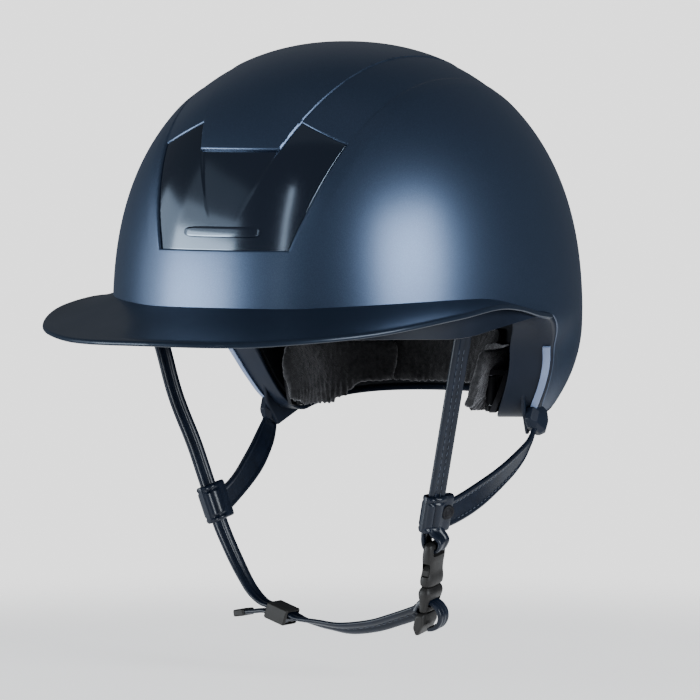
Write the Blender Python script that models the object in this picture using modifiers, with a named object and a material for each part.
"""Riding helmet with a wide brim: shell, liner, pads, nape cradle and chin harness.

Metres, +Z up.  The front looks along -Y and the wearer's left is +X, where the
buckle is.  The origin is on the head's axis, at the widest level of the shell.
"""
import math

import bmesh
import bpy
from mathutils import Matrix, Vector

# Shell: half width, reach to the front and rear, and height above the widest level.
HALF_WIDTH = 0.116
FRONT_REACH = 0.136
REAR_REACH = 0.148
CROWN_HEIGHT = 0.150
SECTION_POWER = 2.136          # level sections are superellipses of this power
SIDE_ARCH = (2.585, 2.067)     # power and root of the side's upright curve
FRONT_ARCH = (2.327, 2.269)
REAR_ARCH = (2.063, 2.210)
LOWER_TAPER = 53.5             # share lost below the widest level, per square metre
EAR_TUCK = 0.009               # how far the shell curls in behind each ear

GAP = 0.0004                   # clearance between pieces that touch
SHELL_DEPTH = 0.0026
LINER_OUTER = 0.0034           # depths below the shell's outer face
LINER_INNER = 0.0245
PAD_OUTER = 0.0258
PAD_THICKNESS = 0.0075
RIM_COVER_DEPTH = 0.0145
RIM_COVER_DROP = 0.0030

# Grid of every dome piece, so that nested pieces have parallel facets.
DOME_SEGMENTS = 40
DOME_RINGS = 11
LOWER_RINGS = 5
LOWER_DEPTH = 0.075

# Lower edge of the shell from the side, as (y, z): front, ear arch, nape.
LOWER_EDGE = (
    (-0.170, 0.0000), (-0.100, 0.0000), (-0.064, -0.0025), (-0.036, 0.0030),
    (-0.004, 0.0065), (0.016, 0.0045), (0.033, -0.0050), (0.044, -0.0170),
    (0.051, -0.0310), (0.056, -0.0410), (0.061, -0.0470), (0.069, -0.0495),
    (0.080, -0.0485), (0.100, -0.0460), (0.122, -0.0435), (0.145, -0.0420), (0.175, -0.0410),
)

# Front window, half of its outline as (x, z) from the lower corner up and in.
WINDOW_HALF = ((0.0394, 0.0420), (0.0553, 0.0977), (0.0296, 0.1095), (0.0237, 0.0952))
REAR_WINDOW = (0.027, 0.036, 0.074)       # half width, lower and upper edge
REAR_SLOT_HEIGHTS = (0.044, 0.052, 0.060, 0.068)

# Brim: angle from the front, height of its root line, and width.
BRIM_ROOT = ((0, 0.0125), (20, 0.0125), (30, 0.0138), (42, 0.0159), (52, 0.0172), (61, 0.0174),
             (72, 0.0157), (80, 0.0119), (89, 0.0060), (96, 0.0040))
BRIM_WIDTH = ((0, 0.0675), (20, 0.0640), (40, 0.0520), (60, 0.0312), (70, 0.0175),
              (80, 0.0080), (90, 0.0030), (96, 0.0012))
BRIM_SLOPE = (12.5, 5.3)       # degrees down at the front, and what is added by 60 degrees round
BRIM_FORWARD = 0.37            # sideways share of the brim's direction
BRIM_THICKNESS = 0.0030
BRIM_END = 95
BRIM_STEP = 5

# Nape cradles: the angles, heights and depths that each plate and its pad cover, and the pin.
CRADLE_ANGLES = (124, 160)
CRADLE_HEIGHTS = (-0.0560, -0.0160)
CRADLE_DEPTHS = (0.0282, 0.0304)
CRADLE_PAD_DEPTHS = (0.0321, 0.0381)
CRADLE_PIVOT = (118, 0.0335)   # the pin's angle from the front, and depth below the surface
CRADLE_MIDDLE = -0.036         # level of the plates' middles
PIN_RADIUS = 0.0015
PIN_SPAN = (-0.0484, -0.0256)
KNUCKLE_RADIUS = 0.0034
KNUCKLE_SPAN = (-0.0450, -0.0290)
BRACKET_SPAN = (-0.0490, -0.0250)
LUG_HEIGHT = 0.0035

# Harness on the wearer's left; the right side mirrors it down to the dividers.
FRONT_EXIT = Vector((0.092, -0.041, -0.008))
DIVIDER = Vector((0.068, -0.026, -0.095))
REAR_CLIP = Vector((0.0770, 0.0600, -0.0580))
CLIP_UP = Vector((0.0, 0.447, 0.894))
CLIP_ACROSS = Vector((0.0, 0.894, -0.447))
CLIP_HEIGHTS = (-0.0035, 0.0062)
REAR_ROUTE = ((0.0770, 0.0579, -0.0621), (0.0769, 0.0552, -0.0668), (0.0766, 0.0490, -0.0716),
              (0.0755, 0.0370, -0.0780), (0.0738, 0.0200, -0.0853), (0.0718, 0.0030, -0.0912),
              (0.0700, -0.0110, -0.0947))
STRAP_WIDTH = 0.0105
STRAP_THICKNESS = 0.0028
REAR_STRAP_WIDTH = 0.014
POCKET_TOP = 0.024             # how far the front strap runs up inside the liner
LEFT_STRAP_END = 0.0120        # how far each front strap runs on below its divider's middle
RIGHT_STRAP_END = 0.0155
DIVIDER_LENGTH = 0.018
DIVIDER_THICKNESS = 0.0075
KEEPER = Vector((-0.0280, -0.0200, -0.1535))
KEEPER_ALONG = Vector((0.945, 0.0, -0.327))        # the chin strap runs straight through the keeper
KEEPER_DOWN = Vector((-0.327, 0.0, -0.945))
KEEPER_HALF = 0.0067
CHIN_UPPER = ((-0.0592, -0.0218, -0.1215), (-0.0530, -0.0205, -0.1340), (-0.0468, -0.0201, -0.1435))
CHIN_LOWER = ((-0.0010, -0.0200, -0.1600), (0.0120, -0.0200, -0.1610), (0.0280, -0.0196, -0.1588),
              (0.0420, -0.0191, -0.1545), (0.0538, -0.0188, -0.1504))
CHIN_FACES = ((-0.88, -0.37, -0.30), (-0.80, -0.20, -0.55), (0.20, 0.0, -0.98), (0.45, 0.0, -0.89))
TAIL_END = ((-0.0430, -0.0200, -0.1545), (-0.0485, -0.0200, -0.1552))
TAIL_OFFSET = 0.0034

# Buckle: its own frame has Z up along the strap, X forward and Y out from the cheek.
BUCKLE_TOP = Vector((0.0662, -0.0226, -0.1135))
BUCKLE_UP = Vector((0.155, -0.113, 0.982))
BUCKLE_FORWARD = Vector((0.08, -0.997, 0.0))
BUCKLE_WIDTH = 0.019
BUCKLE_DEPTH = 0.007
BUCKLE_WALL = 0.0020
SLOT_SIDE = 0.0026              # bars at the sides of the strap slots
TOP_BAR = 0.0217                # height of the upper strap bar in the buckle's frame
SOCKET_TOP = 0.015
SOCKET_FRAME = (0.013, 0.0230)
SOCKET_SLOT = (0.0165, 0.0205)
TONGUE_BODY = (-0.0062, -0.0012)
TONGUE_FRAME = (-0.0140, -0.0050)
TONGUE_SLOT = (-0.0110, -0.0072)
WINDOW_SPAN = (0.0054, 0.0126)
PRONG_PIVOT = 0.0047            # how far each prong's root is from the buckle's middle
PRONG_OUTLINE = ((-0.0009, -0.0008), (0.0010, -0.0008), (0.0010, 0.0056), (0.0045, 0.0060),
                 (0.0045, 0.0090), (0.0011, 0.0122), (-0.0009, 0.0128))
COIL_ROUTE = ((-0.0030, -0.0091), (0.0004, -0.0090), (0.0042, -0.0100), (0.0076, -0.0132), (0.0085, -0.0175),
              (0.0068, -0.0214), (0.0042, -0.0230), (0.0026, -0.0233))
COIL_THICKNESS = 0.0018

COLOURS = {
    "shell_navy": ((0.035, 0.065, 0.120), 0.30, 0.55),
    "brim_navy": ((0.016, 0.026, 0.045), 0.28, 0.10),
    "panel_black": ((0.004, 0.005, 0.010), 0.04, 0.00),
    "trim_navy": ((0.040, 0.060, 0.095), 0.35, 0.00),
    "trim_light": ((0.300, 0.370, 0.520), 0.25, 0.00),
    "foam_black": ((0.012, 0.012, 0.014), 0.85, 0.00),
    "fleece_black": ((0.010, 0.010, 0.011), 0.95, 0.00),
    "leather_navy": ((0.018, 0.030, 0.060), 0.45, 0.00),
    "plastic_dark": ((0.035, 0.034, 0.034), 0.50, 0.00),
    "steel": ((0.550, 0.560, 0.580), 0.30, 1.00),
}


# ---------------------------------------------------------------- scene and helpers

def clear_scene():
    for obj in list(bpy.data.objects):
        bpy.data.objects.remove(obj, do_unlink=True)


def new_collection(name):
    collection = bpy.data.collections.new(name)
    bpy.context.scene.collection.children.link(collection)
    return collection


def make_materials():
    made = {}
    for name, (colour, roughness, metallic) in COLOURS.items():
        material = bpy.data.materials.new(name)
        material.use_nodes = True
        shader = material.node_tree.nodes["Principled BSDF"]
        shader.inputs["Base Color"].default_value = (*colour, 1.0)
        shader.inputs["Roughness"].default_value = roughness
        shader.inputs["Metallic"].default_value = metallic
        made[name] = material
    return made


clear_scene()
PARTS = new_collection("riding_helmet")
CUTTERS = new_collection("cutters")
MATERIALS = make_materials()


def add_object(name, bm, material, matrix=None):
    """Turn a bmesh into a part, or into a hidden cutter when there is no material."""
    bmesh.ops.recalc_face_normals(bm, faces=bm.faces)
    mesh = bpy.data.meshes.new(name)
    bm.to_mesh(mesh)
    bm.free()
    obj = bpy.data.objects.new(name, mesh)
    if material is None:
        CUTTERS.objects.link(obj)
        obj.hide_render = True
        obj.display_type = 'WIRE'
    else:
        PARTS.objects.link(obj)
        mesh.materials.append(MATERIALS[material])
        mesh.shade_smooth()
        mesh.set_sharp_from_angle(angle=math.radians(30))
    if matrix is not None:
        obj.matrix_world = matrix
    return obj


def boolean(obj, cutter, operation='DIFFERENCE'):
    modifier = obj.modifiers.new(operation.lower(), 'BOOLEAN')
    modifier.operation = operation
    modifier.object = cutter
    modifier.solver = 'EXACT'
    return obj


def bevel(obj, width, segments=1):
    modifier = obj.modifiers.new("bevel", 'BEVEL')
    modifier.width = width
    modifier.segments = segments
    modifier.limit_method = 'ANGLE'
    return obj


def box_bmesh(low, high):
    bm = bmesh.new()
    bmesh.ops.create_cube(bm, size=1.0)
    low, high = Vector(low), Vector(high)
    for vert in bm.verts:
        vert.co = Vector(low[i] + (vert.co[i] + 0.5) * (high[i] - low[i]) for i in range(3))
    return bm


def add_box(name, low, high, material, matrix=None):
    return add_object(name, box_bmesh(low, high), material, matrix)


def add_rod(name, radius, low, high, material, matrix=None, segments=16):
    """A cylinder along its own Z from low to high."""
    bm = bmesh.new()
    bmesh.ops.create_cone(bm, cap_ends=True, segments=segments, radius1=radius, radius2=radius,
                          depth=high - low)
    bmesh.ops.translate(bm, verts=bm.verts, vec=(0, 0, (low + high) / 2))
    return add_object(name, bm, material, matrix)


def add_outline(name, points, thickness, material, matrix):
    """A flat outline in its own XY plane, given thickness about that plane."""
    curve = bpy.data.curves.new(name, 'CURVE')
    curve.dimensions = '2D'
    curve.fill_mode = 'BOTH'
    curve.extrude = thickness / 2
    spline = curve.splines.new('POLY')
    spline.points.add(len(points) - 1)
    for spot, (x, y) in zip(spline.points, points):
        spot.co = (x, y, 0, 1)
    spline.use_cyclic_u = True
    guide = bpy.data.objects.new(name + "_guide", curve)
    CUTTERS.objects.link(guide)
    bpy.context.view_layer.update()
    evaluated = guide.evaluated_get(bpy.context.evaluated_depsgraph_get())
    flat = bpy.data.meshes.new_from_object(evaluated)
    bm = bmesh.new()
    bm.from_mesh(flat)
    bmesh.ops.remove_doubles(bm, verts=bm.verts, dist=0.00001)
    bpy.data.objects.remove(guide, do_unlink=True)
    bpy.data.meshes.remove(flat)
    return add_object(name, bm, material, matrix)


def frame_at(origin, up, across):
    """Matrix of a frame with Z along up, X as near across as it can be, and Y outward."""
    z_axis = Vector(up).normalized()
    x_axis = (Vector(across) - z_axis * z_axis.dot(Vector(across))).normalized()
    y_axis = z_axis.cross(x_axis)
    matrix = Matrix((x_axis, y_axis, z_axis)).transposed().to_4x4()
    matrix.translation = origin
    return matrix


SIDE_PLANE = Matrix(((0, 0, 1, 0), (1, 0, 0, 0), (0, 1, 0, 0), (0, 0, 0, 1)))    # (y, z) outlines
FRONT_PLANE = Matrix(((1, 0, 0, 0), (0, 0, -1, 0), (0, 1, 0, 0), (0, 0, 0, 1)))  # (x, z) outlines


def ease(value):
    value = min(1.0, max(0.0, value))
    return value * value * (3 - 2 * value)


def station(table, where):
    """Value at a place in a table of (place, value), with straight lines between them."""
    for (a, first), (b, second) in zip(table, table[1:]):
        if where <= b:
            return first + (second - first) * (where - a) / (b - a)
    return table[-1][1]


def smooth_path(points, steps):
    """Points on a Catmull-Rom curve through the given points, steps to each span."""
    points = [Vector(p) for p in points]
    padded = [2 * points[0] - points[1], *points, 2 * points[-1] - points[-2]]
    path = []
    for a, b, c, d in zip(padded, padded[1:], padded[2:], padded[3:]):
        for i in range(steps):
            t = i / steps
            path.append(0.5 * (2 * b + (c - a) * t + (2 * a - 5 * b + 4 * c - d) * t * t
                               + (3 * b - a - 3 * c + d) * t ** 3))
    return path + [points[-1]]


def loft(bm, sections):
    """Faces between sections of equal corner counts, and one over each end."""
    for here, following in zip(sections, sections[1:]):
        for i in range(len(here)):
            j = (i + 1) % len(here)
            bm.faces.new((here[i], here[j], following[j], following[i]))
    bm.faces.new(sections[0])
    bm.faces.new(sections[-1])


def mirror_x(point):
    return Vector((-point[0], point[1], point[2]))


def side_name(side):
    return "left" if side > 0 else "right"


# ---------------------------------------------------------------- dome surfaces

def arch(share, shape):
    power, root = shape
    return (1.0 - min(1.0, max(0.0, share)) ** power) ** (1.0 / root)


def ear_tuck(y, height):
    """How far the surface is drawn in near the rear edge of the ear arch."""
    low = ease((0.010 - height) / 0.025)
    behind_temple = ease((y + 0.010) / 0.040)
    before_nape = ease((0.095 - y) / 0.045)
    return EAR_TUCK * low * behind_temple * before_nape


def dome_point(angle, height, inset=0.0):
    """Point of the shell's surface moved in by inset.  Angle 0 is the front, + to the left."""
    share = height / (CROWN_HEIGHT - inset)
    taper = 1.0 - LOWER_TAPER * min(0.0, height) ** 2
    across = abs(math.sin(angle)) ** (2 / SECTION_POWER)
    along = abs(math.cos(angle)) ** (2 / SECTION_POWER)
    x = (HALF_WIDTH - inset) * arch(share, SIDE_ARCH) * across * taper
    if math.cos(angle) > 0:
        y = -(FRONT_REACH - inset) * arch(share, FRONT_ARCH) * along * taper
    else:
        y = (REAR_REACH - inset) * arch(share, REAR_ARCH) * along * taper
    x = max(0.0, x - ear_tuck(y, height))
    return Vector((math.copysign(x, math.sin(angle)), y, height))


def dome_normal(angle, height):
    """Level direction straight out of the shell."""
    x, y, _ = dome_point(angle, height)
    reach = FRONT_REACH if y < 0 else REAR_REACH
    across = math.copysign((abs(x) / HALF_WIDTH) ** (SECTION_POWER - 1) / HALF_WIDTH, x)
    along = math.copysign((abs(y) / reach) ** (SECTION_POWER - 1) / reach, y)
    return Vector((across, along, 0)).normalized()


def cap_point(unit, inset):
    """Place a unit sphere's point on the dome: its upper half arches, the rest runs down."""
    angle = math.atan2(unit.x, -unit.y)
    rise = math.asin(max(-1.0, min(1.0, unit.z)))
    step = math.pi / 2 / DOME_RINGS
    if rise > -step / 2:
        height = (CROWN_HEIGHT - inset) * math.sin(max(0.0, rise))
    else:
        height = LOWER_DEPTH * rise / (step * LOWER_RINGS)
    return dome_point(angle, height, inset)


def close_layers(name, bm, material):
    """Join the rims of an outer and an inner layer that face opposite ways."""
    rims = [edge for edge in bm.edges if edge.is_boundary]
    bmesh.ops.bridge_loops(bm, edges=rims)
    return add_object(name, bm, material)


def dome_shell(name, outer, inner, material):
    """A closed shell between two depths below the outer surface, open at the bottom."""
    bm = bmesh.new()
    lowest = -math.sin(math.pi / 2 * (LOWER_RINGS + 0.5) / DOME_RINGS)
    for inset in (outer, inner):
        made = bmesh.ops.create_uvsphere(bm, u_segments=DOME_SEGMENTS,
                                         v_segments=2 * DOME_RINGS, radius=1.0)["verts"]
        low = [vert for vert in made if vert.co.z < lowest]
        kept = [vert for vert in made if vert.co.z >= lowest]
        bmesh.ops.delete(bm, geom=low, context='VERTS')
        for vert in kept:
            vert.co = cap_point(vert.co, inset)
        if inset == outer:
            bmesh.ops.reverse_faces(bm, faces=bm.faces)
    return close_layers(name, bm, material)


def dome_patch(name, depths, angles, heights, cells, material, roundness=0.5):
    """A closed pad or plate that follows the dome between two angles and two heights."""
    bm = bmesh.new()
    for inset in depths:
        made = bmesh.ops.create_grid(bm, x_segments=cells[0], y_segments=cells[1], size=1.0)["verts"]
        for vert in made:
            u, v = vert.co.x, vert.co.y
            wide = u * math.sqrt(1 - roundness * v * v / 2)
            tall = v * math.sqrt(1 - roundness * u * u / 2)
            angle = angles[0] + (angles[1] - angles[0]) * (wide + 1) / 2
            height = heights[0] + (heights[1] - heights[0]) * (tall + 1) / 2
            vert.co = dome_point(math.radians(angle), height, inset)
        if inset == depths[0]:
            bmesh.ops.reverse_faces(bm, faces=bm.faces)
    return close_layers(name, bm, material)


# ---------------------------------------------------------------- outlines of the shell

def lower_edge(offset):
    """The shell's lower edge from the side, moved outward by offset."""
    path = smooth_path([(y, z, 0) for y, z in LOWER_EDGE], 3)
    moved = []
    for i, spot in enumerate(path):
        along = (path[min(i + 1, len(path) - 1)] - path[max(i - 1, 0)]).normalized()
        moved.append((spot.x + along.y * offset, spot.y - along.x * offset))
    return moved


def edge_cutter(name, offset):
    """Everything below the shell's lower edge."""
    points = lower_edge(offset) + [(0.175, -0.120), (-0.170, -0.120)]
    return add_outline(name, points, 0.30, None, SIDE_PLANE)


def edge_band(name, near, far, first=0, last=None):
    """A band along the lower edge between two offsets from it."""
    points = lower_edge(near)[first:last] + lower_edge(far)[first:last][::-1]
    return add_outline(name, points, 0.30, None, SIDE_PLANE)


def grow_outline(points, grow):
    """A closed outline, listed anticlockwise, with each side moved outward."""
    moved = []
    for i, here in enumerate(points):
        before = Vector(here) - Vector(points[i - 1])
        after = Vector(points[(i + 1) % len(points)]) - Vector(here)
        first = Vector((before.y, -before.x)).normalized()
        second = Vector((after.y, -after.x)).normalized()
        moved.append(Vector(here) + (first + second) * grow / (1 + first.dot(second)))
    return [(spot.x, spot.y) for spot in moved]


def window_prism(name, grow, low_y, high_y):
    """The front window's outline grown by a margin, from one depth to another."""
    whole = list(WINDOW_HALF) + [(-x, z) for x, z in reversed(WINDOW_HALF)]
    points = grow_outline(whole, grow)
    plane = FRONT_PLANE.copy()
    plane.translation = (0, (low_y + high_y) / 2, 0)
    return add_outline(name, points, high_y - low_y, None, plane)


def rear_window_box(name, grow):
    half, low, high = REAR_WINDOW
    cutter = add_box(name, (-half - grow, 0.040, low - grow), (half + grow, 0.200, high + grow), None)
    return bevel(cutter, 0.006, 2)


# ---------------------------------------------------------------- shell, brim and panels

def make_shell():
    shell = dome_shell("outer_shell", 0.0, SHELL_DEPTH, "shell_navy")
    boolean(shell, edge_cutter("shell_edge_cutter", 0.0))
    boolean(shell, window_prism("front_window_cutter", 0.0, -0.20, -0.04))
    boolean(shell, rear_window_box("rear_window_cutter", 0.0))


def make_liner():
    liner = dome_shell("eps_liner", LINER_OUTER, LINER_INNER, "foam_black")
    boolean(liner, edge_cutter("liner_edge_cutter", -0.0004))
    for side in (1, -1):
        boolean(liner, strap_pocket(side))


def make_rim_cover():
    cover = dome_shell("rim_cover", 0.0, RIM_COVER_DEPTH, "trim_navy")
    boolean(cover, edge_band("rim_cover_band", GAP, GAP + RIM_COVER_DROP), 'INTERSECT')
    for side in (1, -1):
        boolean(cover, bpy.data.objects["strap_pocket_" + side_name(side)])


def make_ear_trims():
    """A light strip let on to the rim cover along the rear edge of each ear arch."""
    near = 2 * GAP + RIM_COVER_DROP
    for side in (1, -1):
        name = "ear_trim_" + side_name(side)
        trim = dome_shell(name, 0.0030, 0.0062, "trim_light")
        boolean(trim, edge_band(name + "_band", near, near + 0.0010, 20, 29), 'INTERSECT')
        low_x, high_x = sorted((side * 0.02, side * 0.16))
        keep = add_box(name + "_half", (low_x, 0, -0.1), (high_x, 0.2, 0.1), None)
        boolean(trim, keep, 'INTERSECT')


def make_panels():
    panel = dome_shell("front_vent_panel", 0.0006, 0.0028, "panel_black")
    boolean(panel, window_prism("front_panel_outline", -0.0006, -0.20, -0.04), 'INTERSECT')
    grille = dome_shell("rear_vent_grille", 0.0006, 0.0028, "plastic_dark")
    boolean(grille, rear_window_box("rear_grille_outline", -0.0006), 'INTERSECT')
    for i, height in enumerate(REAR_SLOT_HEIGHTS):
        slot = add_box(f"rear_slot_{i}", (-0.020, 0.04, height - 0.002), (0.020, 0.20, height + 0.002),
                       None)
        boolean(grille, slot)


def make_badge():
    """A plain raised bar low on the front panel."""
    dome_patch("front_badge", (-0.0006, 0.0002), (-13, 13), (0.0490, 0.0550), (10, 2), "panel_black")


def brim_section(degrees):
    """Corners of the brim's section at an angle: root, edge, nose, underside and root again."""
    angle = math.radians(degrees)
    height = station(BRIM_ROOT, abs(degrees))
    width = station(BRIM_WIDTH, abs(degrees))
    out = dome_normal(angle, height)
    ahead = Vector((out.x * BRIM_FORWARD, out.y, 0)).normalized() if abs(degrees) < 89 else out
    slope = math.radians(BRIM_SLOPE[0] + BRIM_SLOPE[1] * (degrees / 60) ** 2)
    down = Vector((0, 0, -1))
    root = dome_point(angle, height, -GAP)
    edge = root + (ahead * math.cos(slope) + down * math.sin(slope)) * width
    inward = -ahead * min(0.0015, width / 4)
    under_root = dome_point(angle, height - BRIM_THICKNESS, -GAP)
    return (root, edge + inward, edge + down * 0.0012, edge + inward + down * 0.0026,
            under_root)


def make_brim():
    bm = bmesh.new()
    sections = [[bm.verts.new(corner) for corner in brim_section(degrees)]
                for degrees in range(-BRIM_END, BRIM_END + 1, BRIM_STEP)]
    loft(bm, sections)
    add_object("brim", bm, "brim_navy")


# ---------------------------------------------------------------- pads and nape cradle

def make_pads():
    inner = PAD_OUTER + PAD_THICKNESS
    dome_patch("front_head_pad", (PAD_OUTER, inner), (-62, 62), (0.0010, 0.0360), (16, 3), "fleece_black")
    dome_patch("nape_pad", (PAD_OUTER, inner), (163, 197), (-0.0420, -0.0040), (6, 3), "fleece_black")
    for side in (1, -1):
        angles = sorted((side * 70, side * 108))
        dome_patch("side_pad_" + side_name(side), (PAD_OUTER, inner), angles, (0.0140, 0.0560),
                   (6, 4), "fleece_black")


def make_crown_pad():
    """A rounded pad under the crown."""
    pad = dome_shell("crown_pad", PAD_OUTER, PAD_OUTER + PAD_THICKNESS, "fleece_black")
    bm = bmesh.new()
    bmesh.ops.create_cone(bm, cap_ends=True, segments=24, radius1=0.046, radius2=0.046, depth=0.08)
    bmesh.ops.scale(bm, verts=bm.verts, vec=(0.85, 1.15, 1.0))
    bmesh.ops.translate(bm, verts=bm.verts, vec=(0, 0.004, 0.12))
    boolean(pad, add_object("crown_pad_outline", bm, None), 'INTERSECT')


def cradle_pivot(side):
    """Where the cradle's upright hinge pin stands, ahead of the plate's front edge."""
    angle, depth = CRADLE_PIVOT
    spot = dome_point(math.radians(angle), CRADLE_MIDDLE, depth)
    return Vector((side * spot.x, spot.y, 0))


def hang_on_pivot(name, location, pieces):
    """Parent moving pieces to an empty on their joint's axis, where they are."""
    empty = bpy.data.objects.new(name, None)
    PARTS.objects.link(empty)
    empty.location = location
    for piece in pieces:
        piece.parent = empty
        piece.matrix_parent_inverse = Matrix.Translation(-location)


def make_cradle(side):
    name = side_name(side)
    angles = sorted((side * CRADLE_ANGLES[0], side * CRADLE_ANGLES[1]))
    plate = dome_patch("cradle_" + name, CRADLE_DEPTHS, angles, CRADLE_HEIGHTS, (6, 4), "plastic_dark", 0.3)
    pivot = Matrix.Translation(cradle_pivot(side))
    near = dome_point(math.radians(CRADLE_ANGLES[0] + 2), CRADLE_MIDDLE, sum(CRADLE_DEPTHS) / 2)
    reach = Vector((side * near.x, near.y, 0)) - cradle_pivot(side)
    arm = add_box("cradle_arm_" + name, (0, -0.0012, KNUCKLE_SPAN[0] + 0.001),
                  (reach.length, 0.0012, KNUCKLE_SPAN[1] - 0.001), None,
                  frame_at(cradle_pivot(side), (0, 0, 1), reach))
    boolean(plate, arm, 'UNION')
    boolean(plate, add_rod("cradle_knuckle_" + name, KNUCKLE_RADIUS, *KNUCKLE_SPAN, None, pivot), 'UNION')
    boolean(plate, add_rod("cradle_bore_" + name, PIN_RADIUS + GAP, *BRACKET_SPAN, None, pivot))
    inner_angles = sorted((side * (CRADLE_ANGLES[0] + 2), side * (CRADLE_ANGLES[1] - 1)))
    pad_heights = (CRADLE_HEIGHTS[0] - 0.001, CRADLE_HEIGHTS[1] + 0.001)
    pad = dome_patch("cradle_pad_" + name, CRADLE_PAD_DEPTHS, inner_angles, pad_heights, (6, 4),
                     "fleece_black")
    hang_on_pivot("cradle_pivot_" + name, cradle_pivot(side), (plate, pad))
    add_rod("cradle_pin_" + name, PIN_RADIUS, *PIN_SPAN, "steel", pivot)
    make_cradle_bracket(side, pivot)


def make_cradle_bracket(side, pivot):
    """Two lugs on an upright that hold the hinge pin's ends."""
    name = side_name(side)
    low, high = BRACKET_SPAN
    bracket = add_box("cradle_bracket_" + name, (-0.0036, -0.0090, low), (0.0036, -0.0045, high),
                      "plastic_dark", pivot)
    for label, foot in (("low", low), ("high", high - LUG_HEIGHT)):
        lug = add_box(f"cradle_lug_{label}_{name}", (-0.0036, -0.0080, foot),
                      (0.0036, 0.0036, foot + LUG_HEIGHT), None, pivot)
        boolean(bracket, lug, 'UNION')
    boolean(bracket, add_rod("cradle_seat_" + name, PIN_RADIUS + GAP / 2, low - 0.01, high + 0.01, None,
                             pivot))


# ---------------------------------------------------------------- harness

def strap_frame(side):
    """Frame of a front strap: Z up along it from the rim, X along its width."""
    exit_spot = FRONT_EXIT if side > 0 else mirror_x(FRONT_EXIT)
    divider = DIVIDER if side > 0 else mirror_x(DIVIDER)
    return frame_at(exit_spot, exit_spot - divider, (side * 0.39, 0.92, 0))


def strap_length():
    """From the rim exit down to the divider's middle."""
    return (FRONT_EXIT - DIVIDER).length


def strap_pocket(side):
    width = STRAP_WIDTH / 2 + 0.0022
    depth = STRAP_THICKNESS / 2 + 0.0014
    return add_box("strap_pocket_" + side_name(side), (-width, -depth, -0.016),
                   (width, depth, POCKET_TOP), None, strap_frame(side))


def face_at(faces, share):
    """The way a strap's face looks at a share of its length, from evenly spread values."""
    place = share * (len(faces) - 1)
    i = min(int(place), len(faces) - 2)
    return Vector(faces[i]).lerp(Vector(faces[i + 1]), place - i)


def ribbon(name, path, faces, width, thickness, material):
    """A flat strap along a path, with faces the ways that its outer face looks in turn."""
    bm = bmesh.new()
    sections = []
    for i, spot in enumerate(path):
        along = (path[min(i + 1, len(path) - 1)] - path[max(i - 1, 0)]).normalized()
        face = face_at(faces, i / (len(path) - 1))
        across = along.cross(face).normalized() * width / 2
        normal = across.cross(along).normalized() * thickness / 2
        corners = (across + normal, across - normal, -across - normal, -across + normal)
        sections.append([bm.verts.new(spot + corner) for corner in corners])
    loft(bm, sections)
    return add_object(name, bm, material)


def make_front_strap(side):
    name = side_name(side)
    matrix = strap_frame(side)
    top = POCKET_TOP - 0.0070
    lowest = -strap_length() - (LEFT_STRAP_END if side > 0 else RIGHT_STRAP_END)
    half = STRAP_WIDTH / 2
    strap = add_box("front_strap_" + name, (-half, -STRAP_THICKNESS / 2, lowest),
                    (half, STRAP_THICKNESS / 2, top), "leather_navy", matrix)
    bevel(strap, 0.0008)
    add_box("front_strap_anchor_" + name, (-half - 0.0012, -0.0022, top + GAP),
            (half + 0.0012, 0.0022, POCKET_TOP - GAP), "plastic_dark", matrix)


def make_divider(side):
    """The leather loop round the front strap that the rear strap is sewn to."""
    name = side_name(side)
    low = -strap_length() - DIVIDER_LENGTH / 2
    high = low + DIVIDER_LENGTH
    half = DIVIDER_THICKNESS / 2
    front = -STRAP_WIDTH / 2 - 0.0022
    rear = STRAP_WIDTH / 2 + 0.0085
    loop = add_box("divider_" + name, (front, -half, low), (rear, half, high), "leather_navy",
                   strap_frame(side))
    hole = add_box("divider_hole_" + name, (-STRAP_WIDTH / 2 - GAP, -STRAP_THICKNESS / 2 - GAP, low - 0.01),
                   (STRAP_WIDTH / 2 + GAP, STRAP_THICKNESS / 2 + GAP, high + 0.01), None,
                   strap_frame(side))
    bevel(loop, 0.0012)
    boolean(loop, hole)
    outward = -side * (half + GAP)
    stud = strap_frame(side) @ Matrix.Translation((0.0095, outward, (low + high) / 2))
    facing = Matrix.Rotation(math.radians(90 * side), 4, 'X')
    add_rod("snap_stud_" + name, 0.0045, 0.0, 0.0014, "plastic_dark", stud @ facing, 20)


def make_rear_strap(side):
    name = side_name(side)
    route = [Vector(p) if side > 0 else mirror_x(p) for p in REAR_ROUTE]
    path = smooth_path(route, 4)
    ribbon("rear_strap_" + name, path, ((side, 0.25, 0.1), (side, -0.2, 0.25)), REAR_STRAP_WIDTH,
           STRAP_THICKNESS, "leather_navy")
    clip_spot = REAR_CLIP if side > 0 else mirror_x(REAR_CLIP)
    clip = add_box("rear_strap_clip_" + name, (-0.0080, -0.0030, CLIP_HEIGHTS[0]),
                   (0.0080, 0.0030, CLIP_HEIGHTS[1]), "plastic_dark",
                   frame_at(clip_spot, CLIP_UP, CLIP_ACROSS))
    bevel(clip, 0.0018)


def chin_path():
    """From the end of the right front strap, straight through the keeper, to the buckle."""
    start = strap_frame(-1) @ Vector((0, 0, -strap_length() - RIGHT_STRAP_END - GAP))
    straight = [KEEPER + KEEPER_ALONG * reach for reach in (-0.0130, -0.0070, 0.0, 0.0070, 0.0130)]
    return smooth_path((start, *CHIN_UPPER, *straight, *CHIN_LOWER), 2)


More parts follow.
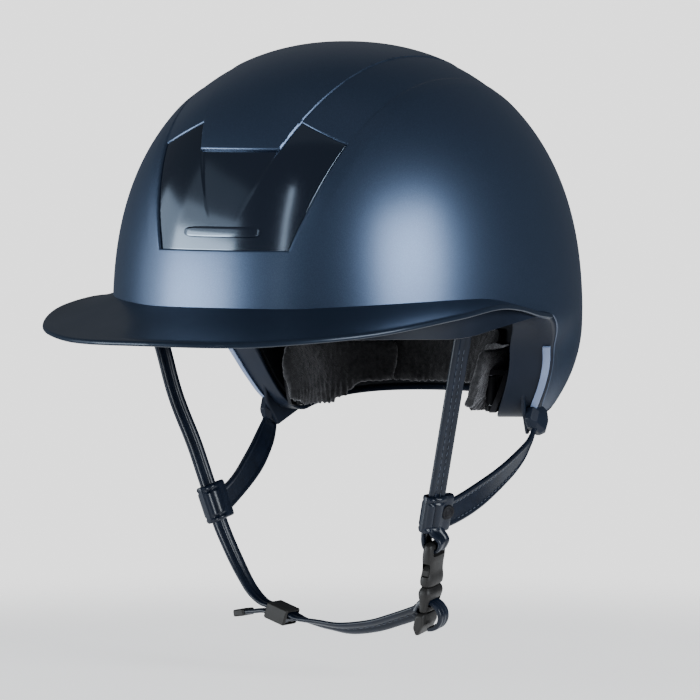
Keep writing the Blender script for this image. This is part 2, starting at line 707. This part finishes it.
def make_chin_strap():
    path = chin_path()
    middle = min(range(len(path)), key=lambda i: (path[i] - KEEPER).length)
    upper, turn, low, last = CHIN_FACES
    faces = []
    for i in range(len(path)):
        if i < middle - 2:
            faces.append(Vector(upper).lerp(Vector(turn), i / (middle - 2)))
        elif i <= middle + 2:
            faces.append(KEEPER_DOWN)
        else:
            faces.append(Vector(low).lerp(Vector(last), (i - middle - 2) / (len(path) - middle - 3)))
    ribbon("chin_strap", path, faces, STRAP_WIDTH, STRAP_THICKNESS, "leather_navy")


def make_keeper():
    """A plastic sleeve on the chin strap, and the strap's free end that it holds."""
    matrix = frame_at(KEEPER, KEEPER_ALONG, (0, 1, 0))
    half_width = STRAP_WIDTH / 2 + 0.0018
    sleeve = add_box("strap_keeper", (-half_width, -0.0060, -KEEPER_HALF), (half_width, 0.0030, KEEPER_HALF),
                     "plastic_dark", matrix)
    bevel(sleeve, 0.0008)
    boolean(sleeve, add_box("keeper_hole", (-STRAP_WIDTH / 2 - GAP, -0.0050, -0.02),
                            (STRAP_WIDTH / 2 + GAP, 0.0019, 0.02), None, matrix))
    inside = [KEEPER + KEEPER_ALONG * reach + KEEPER_DOWN * TAIL_OFFSET for reach in (0.004, -0.002, -0.008)]
    tail = smooth_path((*inside, *TAIL_END), 3)
    ribbon("chin_strap_tail", tail, (KEEPER_DOWN, KEEPER_DOWN, (-0.1, 0, -1)), STRAP_WIDTH, 0.0020,
           "leather_navy")
    tip_frame = frame_at(tail[-1], tail[-1] - tail[-2], (0, 1, 0))
    tip = add_box("tail_tip", (-STRAP_WIDTH / 2 - 0.0008, -0.0019, GAP),
                  (STRAP_WIDTH / 2 + 0.0008, 0.0019, 0.0070), "plastic_dark", tip_frame)
    bevel(tip, 0.0006)


# ---------------------------------------------------------------- buckle

def buckle_frame():
    up = BUCKLE_UP.normalized()
    return frame_at(BUCKLE_TOP - up * TOP_BAR, up, BUCKLE_FORWARD)


def buckle_box(name, half_width, half_depth, heights, material=None):
    """A box in the buckle's frame, centred on its axis, between two heights."""
    return add_box(name, (-half_width, -half_depth, heights[0]), (half_width, half_depth, heights[1]),
                   material, buckle_frame())


def make_socket():
    half = BUCKLE_WIDTH / 2
    deep = BUCKLE_DEPTH / 2
    socket = buckle_box("buckle_socket", half, deep, (0, SOCKET_TOP), "plastic_dark")
    bevel(socket, 0.0012, 2)
    boolean(socket, buckle_box("socket_frame", half, 0.0024, SOCKET_FRAME), 'UNION')
    boolean(socket, buckle_box("socket_slot", half - SLOT_SIDE, 0.02, SOCKET_SLOT))
    hollow_deep = deep - 0.0012
    boolean(socket, buckle_box("socket_hollow", half - BUCKLE_WALL, hollow_deep, (-0.01, SOCKET_TOP - 0.0012)))
    boolean(socket, buckle_box("socket_window", half + 0.01, hollow_deep, WINDOW_SPAN))


def make_tongue():
    half = BUCKLE_WIDTH / 2
    tongue = buckle_box("buckle_tongue", half, BUCKLE_DEPTH / 2, TONGUE_BODY, "plastic_dark")
    bevel(tongue, 0.0012, 2)
    boolean(tongue, buckle_box("tongue_frame", half, 0.0024, TONGUE_FRAME), 'UNION')
    boolean(tongue, buckle_box("tongue_slot", half - SLOT_SIDE, 0.02, TONGUE_SLOT))
    boolean(tongue, buckle_box("tongue_guide", 0.0016, 0.0017, (-0.0030, 0.0090)), 'UNION')


def make_prong(side):
    """One sprung arm of the tongue; its head fills a side window of the socket."""
    points = PRONG_OUTLINE
    if side < 0:
        points = [(-x, z) for x, z in reversed(points)]
    name = "front" if side > 0 else "rear"
    root = buckle_frame() @ Matrix.Translation((side * PRONG_PIVOT, 0, 0))
    add_outline("buckle_prong_" + name, points, 0.0038, "plastic_dark", root @ FRONT_PLANE)


def make_adjuster():
    """The bar that locks the chin strap below the tongue."""
    half = BUCKLE_WIDTH / 2
    adjuster = add_box("strap_adjuster", (-half, -0.0050, -0.0272), (half, 0.0012, -0.0146), "plastic_dark",
                       buckle_frame())
    bevel(adjuster, 0.0018)


def make_strap_coil():
    """The chin strap's turn from the tongue's slot, outward and back under to the adjuster."""
    matrix = buckle_frame()
    path = smooth_path([matrix @ Vector((0, y, z)) for y, z in COIL_ROUTE], 3)
    bm = bmesh.new()
    half = matrix.to_3x3() @ Vector((STRAP_WIDTH / 2, 0, 0))
    sections = []
    for i, spot in enumerate(path):
        along = (path[min(i + 1, len(path) - 1)] - path[max(i - 1, 0)]).normalized()
        out = along.cross(half).normalized() * COIL_THICKNESS / 2
        sections.append([bm.verts.new(spot + corner) for corner in
                         (half + out, half - out, -half - out, -half + out)])
    loft(bm, sections)
    add_object("chin_strap_coil", bm, "leather_navy")


# ---------------------------------------------------------------- the whole helmet

def build():
    make_shell()
    make_liner()
    make_rim_cover()
    make_ear_trims()
    make_panels()
    make_badge()
    make_brim()
    make_pads()
    make_crown_pad()
    for side in (1, -1):
        make_cradle(side)
        make_front_strap(side)
        make_divider(side)
        make_rear_strap(side)
        make_prong(side)
    make_chin_strap()
    make_keeper()
    make_socket()
    make_tongue()
    make_adjuster()
    make_strap_coil()


build()
